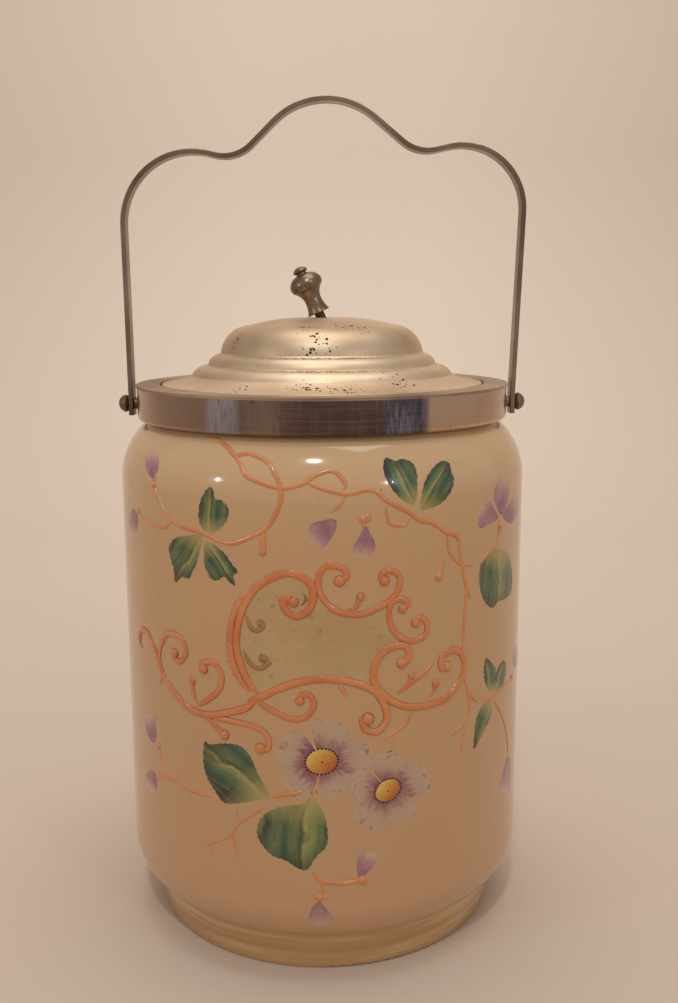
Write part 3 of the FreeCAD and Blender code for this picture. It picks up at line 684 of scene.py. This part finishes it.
# %% Vine lines
VINE, TWIG, HAIR = (0.66, 0.36), (0.54, 0.30), (0.42, 0.22)
vine_lines = [
    (*VINE, [(207.7, 436.8), (218, 440), (229, 448), (235, 455), (249, 453.7), (266, 460.7), (274, 472),
             (280, 486), (280.7, 496), (278.6, 507), (267.3, 526.6), (250.5, 536.5), (232.3, 543),
             (219, 541)]),
    (*VINE, [(229, 448), (239, 461), (246, 475), (260, 482), (274, 486.6), (288, 487.4), (306.6, 481.7),
             (313.6, 476), (330.5, 470.5), (340, 476), (345.3, 484.8), (342.8, 491)]),
    (*VINE, [(303, 479), (309.4, 483), (323.5, 488.8), (340, 493), (349, 493.8), (372, 490), (387.4, 501.4),
             (409, 512.9), (419.3, 520.6), (432, 523), (444.8, 532), (457.6, 538.4), (461.4, 561.4),
             (465, 582), (470.3, 601)]),
    (*TWIG, [(447, 533), (448.6, 550), (456, 561), (464, 565), (474, 565)]),
    (*HAIR, [(386, 506), (386, 513), (390, 524.4), (404, 525.7), (409, 519)]),
    (*TWIG, [(443.5, 558.8), (443, 568), (438.4, 576.7)]),
    (*HAIR, [(346, 494), (341, 504), (330, 514)]),
    (*TWIG, [(226, 543), (218, 540.7), (204, 533.7), (183, 526.6), (172, 519.6), (162, 505.6),
             (153.7, 486)]),
    (*TWIG, [(172, 519.6), (163.5, 526.6), (148, 521), (138, 511)]),
    (1.1, 0.5, [(264.5, 527), (262.4, 540), (262.4, 553)]),
    (*TWIG, [(478, 567), (486, 556), (497, 543), (498.5, 530)]),
    (*VINE, [(466, 586), (465.5, 603), (464, 621), (463, 640), (463, 658), (463, 675), (471, 696),
             (479, 703)]),
    (*TWIG, [(464, 678), (468.4, 700), (465.7, 720.5), (447, 738)]),
    (*HAIR, [(464, 728), (460, 751), (451, 766)]),
    (*TWIG, [(412, 711), (404, 724.5), (380, 742)]),
    (*HAIR, [(394.7, 735), (392, 744), (390.7, 750)]),
    (*TWIG, [(479, 703), (491, 697), (511, 680)]),
    (*TWIG, [(493, 700), (503, 720.5), (507, 744.6), (507, 757)]),
    (*TWIG, [(158, 746), (163.5, 761.5), (174.7, 777), (190, 789.6), (212.6, 795)]),
    (*TWIG, [(155, 778), (162, 775.6), (176, 781)]),
    (*VINE, [(269.7, 797), (286, 794), (303, 792.5)]),
    (*HAIR, [(263, 807), (238, 823), (230, 834), (203, 845)]),
    (*HAIR, [(231.5, 830), (234, 845), (238, 858)]),
    (*HAIR, [(212, 841), (209, 852)]),
    (*VINE, [(311, 871), (320.4, 881), (337.6, 883.6), (350, 882.5), (361, 879)]),
    (*VINE, [(320.4, 881), (320.4, 890), (318, 899)]),
    (0.9, 0.4, [(307, 893), (314, 897), (322, 897), (331, 893)]),
    (0.9, 0.4, [(350, 873), (355, 880), (364, 883)]),
    (0.9, 0.4, [(355, 516), (359, 520), (364, 521), (369, 517)]),
    (*VINE, [(362, 519), (364, 526)]),
    (1.0, 0.45, [(157, 471), (153.5, 483)]),
    (1.0, 0.45, [(499, 518), (499.6, 531)]),
]
vine_drops = [(438.4, 577, 1.5), (153.7, 484, 1.3), (499.6, 526, 1.3), (158, 745, 1.2), (363, 519, 1.4),
              (511, 678, 1.1), (139, 511, 1.1), (361, 880, 1.5), (318, 897, 1.4), (262.4, 552, 1.3)]
enamel_piece("vine_front", vine_lines, vine_drops, vine_enamel)

# %% [markdown]
# The middle of the front carries an open cartouche of curling scrolls, the boldest enamel on the jar,
# and a second group of scrolls runs off to its left. Thick lines, each ending in a curl round a ball.

# %% Scroll lines
BOLD, SCROLL, CURL = (1.12, 0.56), (0.92, 0.47), (0.76, 0.40)
scroll_lines = [
    (0.9, 0.45, [(246, 592), (237, 606), (231.5, 622), (230, 644), (232.5, 661), (240, 680), (250, 692)]),
    (*BOLD, [(293, 603), (288, 599), (281.7, 600.7), (287, 612), (298.6, 616), (309.8, 607.7), (312.6, 592),
             (307, 581), (290, 573), (273, 577), (255, 588), (244, 605), (238, 623), (236, 644),
             (239.6, 661), (246.7, 679), (258, 694.7)]),
    (*SCROLL, [(339, 581), (346, 577), (345, 571), (340.7, 568), (329, 565.6), (319.6, 572.6), (318, 588),
               (324, 600.7), (335, 610.5), (350.5, 614.7), (367, 613), (385.6, 603.5), (396.8, 592),
               (399.6, 579.6), (396, 573), (388, 571), (381, 575), (382, 581)]),
    (*CURL, [(346, 609), (355, 607.7), (360, 596.5)]),
    (*SCROLL, [(402, 609), (408, 603.5), (401, 599), (391, 603.5), (388.4, 616), (392.6, 630),
               (402.4, 638.6), (413.6, 641.4), (425, 634.4), (426, 623), (419, 617.5), (415, 623)]),
    (*BOLD, [(401, 664), (408, 658), (406.6, 648), (396.8, 645.6), (382.8, 652.6), (374, 666.6),
             (374, 683.5), (385.6, 697.5), (402, 706), (419, 707), (436, 703), (446.5, 698), (459, 682),
             (464, 668), (460.6, 654), (451.6, 650.6), (441, 658), (441, 668), (446.5, 667)]),
    (*CURL, [(395.5, 695), (412, 682), (425, 672), (434, 662)]),
    (*CURL, [(428.7, 698), (433, 692), (435, 685)]),
    (*CURL, [(404, 690), (411, 676)]),
    (*BOLD, [(246, 700), (262, 696), (276, 689), (298.6, 682), (321, 679), (343.5, 680.7), (363, 686),
             (375.7, 693), (384, 706), (385.6, 720), (377, 731), (366, 730), (361.7, 721), (367, 718.6)]),
    (*SCROLL, [(255, 694), (259, 702), (273, 711), (290, 718.6), (304, 717), (312.6, 707), (310, 696),
               (301, 695), (298, 701)]),
    (1.1, 0.5, [(337, 684), (342, 690), (346, 698)]),
    (*BOLD, [(258, 696), (246, 707), (226.6, 712), (207, 714), (190, 708), (176, 694), (165, 677),
             (159, 663), (153.7, 646.5), (146.7, 631), (141, 629.6), (140, 642), (144, 648)]),
    (*SCROLL, [(162, 668), (159.5, 655), (160.7, 645), (167.7, 633), (180, 636.7), (186, 650.7),
               (180, 660.5), (173, 656), (174.7, 651)]),
    (*SCROLL, [(196, 706), (204, 701), (218, 690), (221, 674.5), (212.6, 662), (201, 663), (203, 669)]),
    (*CURL, [(197, 704), (193, 692), (192, 680)]),
    (*SCROLL, [(200, 713), (212, 722), (223.8, 735)]),
    (*SCROLL, [(210, 716.6), (239, 722), (257.5, 728), (267, 737), (267, 748), (259, 749)]),
    (*CURL, [(170, 684), (162, 676), (160, 686)]),
]
scroll_drops = [(339, 581, 1.9), (384, 581, 1.8), (402, 609, 1.6), (415, 623, 1.7), (401, 663, 1.9),
                (446.5, 667, 1.9), (367, 719, 2.2), (259.5, 748, 2.0), (223.8, 734, 1.9), (203, 668, 1.9),
                (174.7, 652, 1.8), (299, 701, 1.6), (293, 602, 1.8), (360, 597, 1.4), (435, 684, 1.5),
                (411, 676, 1.3), (192, 680, 1.5)]
BEAD, BEAD_STEP = 0.95, 5.6
CREST_BEAD, CREST_STEP = 0.55, 6.0
bead_line = [(241, 597), (233, 611), (229, 626), (227.5, 644), (229.5, 659), (234, 672)]
scroll_drops += [(point.x, point.y, BEAD) for point in smooth_path(bead_line, BEAD_STEP)]
crest_line = [(258, 583), (266, 577), (276, 572), (288, 570)]
scroll_drops += [(point.x, point.y, CREST_BEAD) for point in smooth_path(crest_line, CREST_STEP)]
enamel_piece("scrolls_front", scroll_lines, scroll_drops, scroll_enamel)
gilt_hooks = [
    (*CURL, [(244, 612), (246.7, 618), (249.5, 626), (255, 630), (260, 629), (262.5, 624), (259, 621)]),
    (*CURL, [(243, 648), (248, 661), (258, 668), (265, 665), (266, 659), (261, 656)]),
    (0.5, 0.3, [(301, 592), (305, 596), (304, 602), (299, 606)]),
]
enamel_piece("gilt_hooks", gilt_hooks, [(260, 623, 1.3), (262, 658, 1.4), (268, 663, 1.0)], gilt_enamel)

# %% [markdown]
# Leaves, petals and buds are flat painting, thin as a film. Each is a patch of mesh up to a sixth
# of a millimetre off the glass, filled from its outline towards its middle, with its own coordinates:
# one runs from base to tip, the other across. The finishes read these to lay colour like brush strokes.

# %% Painted patches
LEAST_AROUND, LEAST_RINGS = 40, 5
GIRTH_PER_FOUR, GIRTH_PER_RING = 12, 28
STEPS_BETWEEN = 10
EDGE_PROUD, LEAF_PROUD, EYE_PROUD, GROUND_PROUD = 0.01, 0.07, 0.16, 0.03
FIRST_PROUD, SECOND_PROUD = 0.05, 0.09
LEAF_TEETH = 0.4


def closed_path(points, count):
    """A smooth closed outline as count evenly spaced points."""
    size = len(points)
    dense = []
    for index in range(size):
        near = [Vector(points[(index + offset) % size]) for offset in (-1, 0, 1, 2)]
        dense += [between(*near, tick / STEPS_BETWEEN) for tick in range(STEPS_BETWEEN)]
    return [dense[int(index * len(dense) / count)] for index in range(count)]


def patch_lists(outline, base, tip, proud, back, start, teeth):
    """Points, faces and lay of one patch, in rings from its middle out to its outline."""
    girth = sum((Vector(outline[i]) - Vector(outline[i - 1])).length for i in range(len(outline)))
    around = max(LEAST_AROUND, 4 * int(girth / GIRTH_PER_FOUR))
    rings = max(LEAST_RINGS, int(girth / GIRTH_PER_RING))
    edge = closed_path(outline, around)
    middle = sum(edge, Vector((0, 0))) / around
    edge = [point + (point - middle).normalized() * (teeth if index % 2 else -teeth)
            for index, point in enumerate(edge)]
    base, tip = Vector(base), Vector(tip)
    way = tip - base
    length = way.length
    way = way / length
    spread = max(abs((point - base).cross(way)) for point in edge)
    reaches = [ring / rings for ring in range(1, rings + 1)]
    flat = [middle] + [middle + (point - middle) * reach for reach in reaches for point in edge]
    points, uvs = [], []
    for index, spot in enumerate(flat):
        outermost = index > (rings - 1) * around
        place, normal = on_wall(spot.x, spot.y)
        points.append(turned_to(place + normal * (EDGE_PROUD if outermost else proud), back) * MM)
        offset = spot - base
        uvs.append((offset.dot(way) / length, 0.5 + 0.5 * way.cross(offset) / spread))
    faces = [(start, start + 1 + tick, start + 1 + (tick + 1) % around) for tick in range(around)]
    for ring in range(rings - 1):
        for tick in range(around):
            a = start + 1 + ring * around + tick
            b = start + 1 + ring * around + (tick + 1) % around
            faces.append((a, a + around, b + around, b))
    return points, faces, uvs


def turn_outward(piece):
    """Turns each face so that it looks away from the jar's middle."""
    mesh = piece.data
    for face in mesh.polygons:
        away = Vector((face.center.x, face.center.y, 0))
        if face.normal.dot(away) < 0:
            face.flip()
    mesh.update()


def painted_piece(name, patches, finish, proud=LEAF_PROUD, back=False, teeth=0.0):
    """One object from (outline, base, tip) patches in picture points."""
    points, faces, uvs = [], [], []
    for outline, base, tip in patches:
        more_points, more_faces, more_uvs = patch_lists(outline, base, tip, proud, back, len(points), teeth)
        points += more_points
        faces += more_faces
        uvs += more_uvs
    piece = mesh_piece(name, points, faces, finish)
    write_lay(piece, uvs)
    turn_outward(piece)
    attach(piece, "jar")
    print(name, "patches", len(patches), "faces", len(piece.data.polygons))


print("a patch has at least", LEAST_AROUND, "points round it and", LEAST_RINGS, "rings")

# %% [markdown]
# The leaves run from a deep blue-green at one side through leaf green to a yellow-green vein, with
# brown-black touches at the tips. Fine streaks follow the brush from the base outwards.

# %% Leaf finish
leaf_finish, tree, shader = new_finish("leaf_paint", (84, 96, 54), 0, 0.25)
shader.inputs["Coat Weight"].default_value = 0.3
along, across = lay_axes(tree)
place, axes = own_place(tree)
wobble = times(minus(noise(place, 130.0, 3.0), 0.5), 0.24)
side = plus(across, wobble)
green = ramp(side, [
    (0.0, (76, 52, 36)), (0.10, (42, 44, 34)), (0.24, (46, 74, 56)), (0.38, (104, 118, 66)),
    (0.47, (156, 146, 86)), (0.505, (62, 72, 44)), (0.56, (88, 104, 60)), (0.70, (48, 80, 60)),
    (0.84, (86, 104, 62)), (0.93, (42, 56, 48)), (1.0, (118, 116, 72)),
])
brush_place = joined(times(along, 2.0), times(across, 14.0), times(axes["X"], 60.0))
brush = noise(brush_place, 1.0, 3.0)
green = blend(ramp(brush, [(0.48, 0.0), (0.74, 0.4)]), green, (148, 142, 80))
green = blend(ramp(brush, [(0.28, 0.6), (0.46, 0.0)]), green, (34, 60, 48))
base_glow = ramp(plus(along, wobble), [(0.0, 0.9), (0.40, 0.0)])
green = blend(base_glow, green, (176, 156, 92))
tip_dark = ramp(plus(along, wobble), [(0.70, 0.0), (1.0, 0.75)])
green = blend(tip_dark, green, (46, 44, 32))
put(shader.inputs["Base Color"], green)
bump(shader, brush, 0.2, 0.0002)
print("leaf paint nodes", len(tree.nodes))

# %% [markdown]
# Each leaf is an outline read off an enlarged view of the wall, with the place of its base and of its
# tip, so that its brush strokes run the right way. Its edge is cut into fine teeth.

# %% Leaf outlines
ZOOM = 2.9037
ZOOM_X, ZOOM_Y = 120, 430


def traced(*points):
    """Picture points from points read off an enlarged view of the wall."""
    return [(ZOOM_X + x / ZOOM, ZOOM_Y + y / ZOOM) for x, y in points]


def patch(points, base, tip):
    """An outline with its base and its tip, all as picture points."""
    return traced(*points), traced(base)[0], traced(tip)[0]


leaves = [
    patch([(262, 298), (238, 285), (228, 255), (230, 215), (245, 180), (262, 163), (272, 178), (276, 200),
           (292, 202), (312, 222), (315, 245), (305, 270), (285, 290)], (264, 300), (265, 165)),
    patch([(238, 304), (200, 305), (165, 310), (143, 330), (145, 365), (155, 400), (160, 441), (180, 425),
           (200, 430), (212, 405), (222, 385), (232, 345)], (240, 304), (158, 425)),
    patch([(246, 320), (243, 350), (245, 390), (262, 430), (285, 435), (300, 424), (316, 440), (334, 451),
           (328, 422), (341, 410), (322, 385), (305, 360), (278, 335)], (245, 318), (325, 440)),
    patch([(850, 218), (815, 200), (785, 165), (765, 120), (770, 81), (800, 90), (818, 84), (848, 95),
           (862, 125), (863, 170), (860, 200)], (853, 220), (795, 84)),
    patch([(873, 231), (875, 195), (885, 150), (905, 115), (930, 92), (955, 95), (963, 125), (970, 145),
           (958, 185), (930, 215), (900, 228)], (872, 232), (950, 100)),
    patch([(1095, 345), (1060, 365), (1043, 410), (1045, 460), (1058, 500), (1080, 518), (1098, 500),
           (1120, 490), (1135, 470), (1138, 420), (1130, 370), (1115, 350)], (1100, 342), (1090, 515)),
    patch([(1076, 766), (1060, 740), (1055, 700), (1062, 664), (1080, 680), (1090, 700), (1085, 740)],
          (1078, 768), (1065, 665)),
    patch([(1085, 768), (1085, 730), (1098, 690), (1115, 671), (1120, 700), (1112, 740), (1098, 765)],
          (1084, 769), (1116, 673)),
    patch([(1078, 788), (1050, 805), (1032, 845), (1025, 926), (1040, 905), (1058, 870), (1075, 830)],
          (1079, 787), (1026, 924)),
    patch([(243, 904), (260, 911), (300, 908), (345, 915), (375, 945), (400, 1000), (433, 1063),
           (400, 1072), (350, 1081), (300, 1080), (270, 1040), (250, 1005), (240, 960)], (432, 1064),
          (243, 906)),
    patch([(532, 1084), (480, 1090), (430, 1105), (400, 1135), (395, 1175), (415, 1210), (440, 1235),
           (480, 1250), (510, 1270), (540, 1276), (565, 1240), (595, 1210), (600, 1170), (590, 1120),
           (570, 1080), (548, 1064)], (540, 1066), (520, 1276)),
]
painted_piece("leaves_front", leaves, leaf_finish, teeth=LEAF_TEETH)

# %% [markdown]
# Buds and blossoms are lilac. Each petal is washed thinly, so the peach ground shows through its rim,
# and deepens to purple where it meets the calyx or the yellow eye, in streaks that follow the brush.

# %% Petal finishes
def petal_finish(name, deep, wash, rim, hold, reach, rim_flecks=0.0):
    """Lilac wash, deep as far as hold and thinned out by reach, both as shares of the length."""
    finish, tree, shader = new_finish(name, wash, 0, 0.22)
    shader.inputs["Coat Weight"].default_value = 0.3
    along, across = lay_axes(tree)
    place, axes = own_place(tree)
    lines = joined(times(along, 3.0), times(across, 26.0), times(axes["X"], 200.0))
    brush = noise(lines, 1.0, 3.0)
    push = plus(along, times(minus(brush, 0.5), 0.55))
    tone = ramp(push, [(0.0, deep), (hold, deep), (reach, wash), (0.9, rim)])
    cloud = ramp(noise(place, 210.0, 3.0), [(0.42, 0.0), (0.7, 0.5)])
    tone = blend(cloud, tone, rim)
    flecks = ramp(noise(place, 520.0, 3.0), [(0.55, 0.0), (0.64, rim_flecks)])
    at_rim = ramp(along, [(0.74, 0.0), (0.92, 1.0)])
    tone = blend(times(flecks, at_rim), tone, (104, 84, 74))
    put(shader.inputs["Base Color"], tone)
    bump(shader, brush, 0.15, 0.0002)
    return finish


bud_paint = petal_finish("bud_paint", (142, 88, 108), (176, 126, 126), (196, 158, 134), 0.35, 0.7)
petal_paint = petal_finish("petal_paint", (134, 66, 88), (180, 146, 124), (186, 156, 128), 0.38, 0.60, 0.55)
print("petal paints", [bud_paint.name, petal_paint.name])

# %% [markdown]
# The buds are small petals folded into one another. They are written down in the same way as the
# leaves, and their base is the end where the calyx holds them, which is the deepest in tone.

# %% Bud outlines
buds = [
    patch([(545, 290), (560, 270), (590, 262), (615, 257), (629, 278), (615, 310), (602, 330), (585, 346),
           (565, 340), (550, 315)], (626, 262), (552, 330)),
    patch([(712, 280), (725, 300), (740, 330), (735, 360), (710, 372), (680, 373), (674, 345), (690, 315)],
          (712, 280), (700, 375)),
    patch([(1102, 242), (1085, 195), (1098, 150), (1114, 134), (1130, 160), (1128, 200), (1115, 240)],
          (1106, 246), (1112, 135)),
    patch([(1112, 252), (1130, 215), (1150, 183), (1161, 200), (1155, 240), (1135, 272)], (1108, 256),
          (1156, 190)),
    patch([(1098, 257), (1070, 275), (1045, 286), (1037, 250), (1050, 215), (1065, 200), (1086, 225)],
          (1104, 258), (1044, 225)),
    patch([(72, 830), (85, 819), (100, 840), (105, 880), (98, 906), (82, 890), (73, 860)], (100, 906),
          (78, 820)),
    patch([(75, 1000), (88, 982), (102, 1000), (105, 1035), (92, 1056), (78, 1035)], (104, 1010),
          (80, 1030)),
    patch([(75, 80), (90, 61), (110, 75), (112, 105), (100, 141), (82, 125), (75, 100)], (104, 138),
          (90, 64)),
    patch([(28, 245), (40, 227), (52, 250), (50, 285), (38, 306), (29, 280)], (52, 248), (32, 300)),
    patch([(1103, 1062), (1102, 1035), (1112, 990), (1125, 948), (1133, 970), (1131, 1020), (1126, 1064)],
          (1126, 950), (1112, 1064)),
    patch([(1140, 680), (1142, 640), (1150, 624), (1156, 650), (1150, 690)], (1143, 690), (1150, 626)),
    patch([(690, 1302), (684, 1260), (690, 1235), (720, 1227), (746, 1234), (738, 1260), (715, 1285)],
          (690, 1302), (730, 1228)),
    patch([(545, 1420), (555, 1385), (575, 1370), (595, 1390), (616, 1420), (600, 1436), (565, 1438)],
          (575, 1368), (580, 1438)),
]
painted_piece("buds_front", buds, bud_paint)

# %% [markdown]
# The two open blossoms overlap slightly. A petal is a rounded wedge that starts under the eye and
# ends in a soft notch, so its outline can be worked out from a direction, a length and a width.

# %% Blossoms
def petal_outline(centre, angle, length, half_width):
    """Rounded wedge with a soft notch, as picture points, its base and its tip."""
    way = Vector((math.cos(math.radians(angle)), -math.sin(math.radians(angle))))
    side = Vector((-way.y, way.x))
    shape = [(0.16, 0.25), (0.40, 0.72), (0.66, 1.0), (0.88, 0.86), (0.99, 0.45), (0.94, 0.08),
             (1.0, -0.38), (0.90, -0.84), (0.68, -1.0), (0.42, -0.74), (0.17, -0.26), (0.12, 0.0)]
    middle = Vector(centre)
    outline = [tuple(middle + way * (length * out) + side * (half_width * wide)) for out, wide in shape]
    return outline, tuple(middle), tuple(middle + way * length)


EYE_ONE, EYE_TWO = (320.7, 761.4), (386.6, 790.6)
petals_one = [petal_outline(EYE_ONE, *numbers) for numbers in
              ((158, 46, 19), (222, 46, 17), (300, 38, 17), (8, 50, 18), (72, 43, 19))]
petals_two = [petal_outline(EYE_TWO, *numbers) for numbers in
              ((172, 38, 17), (236, 44, 17), (302, 36, 16), (20, 43, 18), (88, 38, 17))]
painted_piece("petals_one", petals_one, petal_paint, FIRST_PROUD)
painted_piece("petals_two", petals_two, petal_paint, SECOND_PROUD)

# %% [markdown]
# Each blossom has a yellow eye that turns orange at one side, ringed by tiny black dots with one dot
# in its middle. Short dark ticks mark the throats of the buds and the tip of a leaf.

# %% Yellow eyes and black dots
eye_paint, tree, shader = new_finish("eye_paint", (206, 150, 62), 0, 0.3)
speckle = noise(own_place(tree)[0], 300.0, 2.0)
glow = plus(lay_axes(tree)[0], times(minus(speckle, 0.5), 0.4))
glow_tone = ramp(glow, [(0.15, (176, 96, 42)), (0.5, (200, 138, 56)), (0.85, (216, 172, 88))])
put(shader.inputs["Base Color"], glow_tone)
black_paint, tree, shader = new_finish("black_paint", (40, 26, 22), 0, 0.35)
smudge = noise(own_place(tree)[0], 500.0, 2.0)
put(shader.inputs["Base Color"], ramp(smudge, [(0.3, (26, 18, 16)), (0.7, (66, 42, 34))]))


def oval(centre, half_wide, half_high, tilt, count=18):
    """Points of a tilted oval."""
    turn = math.radians(tilt)
    points = []
    for tick in range(count):
        angle = tick / count * 2 * math.pi
        x, y = half_wide * math.cos(angle), half_high * math.sin(angle)
        points.append((centre[0] + x * math.cos(turn) - y * math.sin(turn),
                       centre[1] + x * math.sin(turn) + y * math.cos(turn)))
    return points


EYES = [(EYE_ONE, 16.5, 12.8, -8), (EYE_TWO, 14.5, 10.5, -38)]
GLOW_X, GLOW_Y = 0.7, 0.8
DOTS_ROUND, DOT, MIDDLE_DOT = 26, 0.46, 0.55
TICK = (0.22, 0.12)
eyes = []
dots = []
for centre, wide, high, tilt in EYES:
    rim = oval(centre, wide, high, tilt)
    eyes.append((rim, (centre[0] + wide * GLOW_X, centre[1] + high * GLOW_Y),
                 (centre[0] - wide * GLOW_X, centre[1] - high * GLOW_Y)))
    dots += [(x, y, DOT) for x, y in oval(centre, wide, high, tilt, DOTS_ROUND)]
    dots.append((centre[0] + 0.5, centre[1] + 0.5, MIDDLE_DOT))
painted_piece("blossom_eyes", eyes, eye_paint, EYE_PROUD)
ticks = [(*TICK, points) for points in (
    [(277, 822), (279, 826)], [(274, 829), (279, 831)], [(386, 753), (392, 751)], [(304, 791), (306, 796)],
    [(310, 790), (311, 795)], [(315, 790), (316, 794)], [(335, 519), (336, 523)], [(362, 524), (366, 526)],
    [(499, 515), (502, 511)], [(497, 521), (496, 516)], [(152, 791), (154, 786)], [(318, 898), (319, 903)],
    [(375, 855), (377, 860)], [(358, 878), (361, 876)], [(316, 528), (323, 521)],
)]
enamel_piece("black_marks", ticks, dots, black_paint)

# %% [markdown]
# Inside the cartouche the ground is a shade greener and duller, a thin wash of gold stippled over with
# fine dots that have mostly rubbed away. It is one large patch laid under the scrolls.

# %% Stippled ground of the cartouche
ground_paint, tree, shader = new_finish("stippled_wash", (190, 152, 108), 0, 0.24)
shader.inputs["Coat Weight"].default_value = 0.3
place = own_place(tree)[0]
wash = ramp(noise(place, 70.0, 3.0), [(0.3, (180, 146, 100)), (0.7, (190, 156, 110))])
grid = add(tree, "ShaderNodeTexVoronoi", Vector=place, Scale=330.0, Randomness=0.75).outputs["Distance"]
stipple = ramp(grid, [(0.16, 1.0), (0.30, 0.0)])
patchy = ramp(noise(place, 260.0, 2.0), [(0.44, 0.0), (0.60, 1.0)])
wash = blend(times(times(stipple, patchy), 0.8), wash, (210, 138, 84))
worn_gold = ramp(noise(place, 430.0, 2.0), [(0.64, 0.0), (0.72, 0.5)])
wash = blend(worn_gold, wash, (140, 116, 70))
put(shader.inputs["Base Color"], wash)
bump(shader, stipple, 0.3, 0.0003)
cartouche = [patch([
    (385, 452), (430, 438), (480, 425), (540, 440), (556, 480), (590, 520), (650, 532), (720, 530),
    (778, 508), (786, 560), (812, 600), (780, 618), (745, 650), (732, 700), (742, 742), (700, 736),
    (640, 726), (560, 722), (500, 732), (450, 752), (405, 768), (378, 735), (355, 690), (345, 630),
    (345, 570), (358, 500),
], (345, 600), (800, 600))]
painted_piece("cartouche_ground", cartouche, ground_paint, GROUND_PROUD)

# %% [markdown]
# The photograph doesn't show the back. A jar of this kind usually repeats a plainer spray there, so
# some of the same strokes are carried half way round: the flowering spray and parts of the vine.
# Two twigs that would hang from a scroll are left out, since there are no scrolls on the back.

# %% A plainer spray on the back
SCROLL_TWIGS = ((412, 711), (394.7, 735))
SPRAY_LEFT, SPRAY_START, SPRAY_END = 190, 472, 480
BACK_LEAVES, BACK_BUDS = (0, 1, 2, 3, 4, 9, 10), (0, 1, 11, 12)
back_vine = [line for line in vine_lines
             if SPRAY_LEFT < line[2][0][0] < SPRAY_START and SPRAY_LEFT < line[2][-1][0] < SPRAY_END
             and line[2][0] not in SCROLL_TWIGS]
enamel_piece("vine_back", back_vine, [(318, 897, 1.4), (361, 880, 1.5), (363, 519, 1.4)], vine_enamel, True)
painted_piece("leaves_back", [leaves[index] for index in BACK_LEAVES], leaf_finish, LEAF_PROUD, True,
              LEAF_TEETH)
painted_piece("buds_back", [buds[index] for index in BACK_BUDS], bud_paint, LEAF_PROUD, True)
painted_piece("petals_back_one", petals_one, petal_paint, FIRST_PROUD, True)
painted_piece("petals_back_two", petals_two, petal_paint, SECOND_PROUD, True)
painted_piece("eyes_back", eyes, eye_paint, EYE_PROUD, True)
enamel_piece("black_marks_back", ticks[:6], dots, black_paint, True)
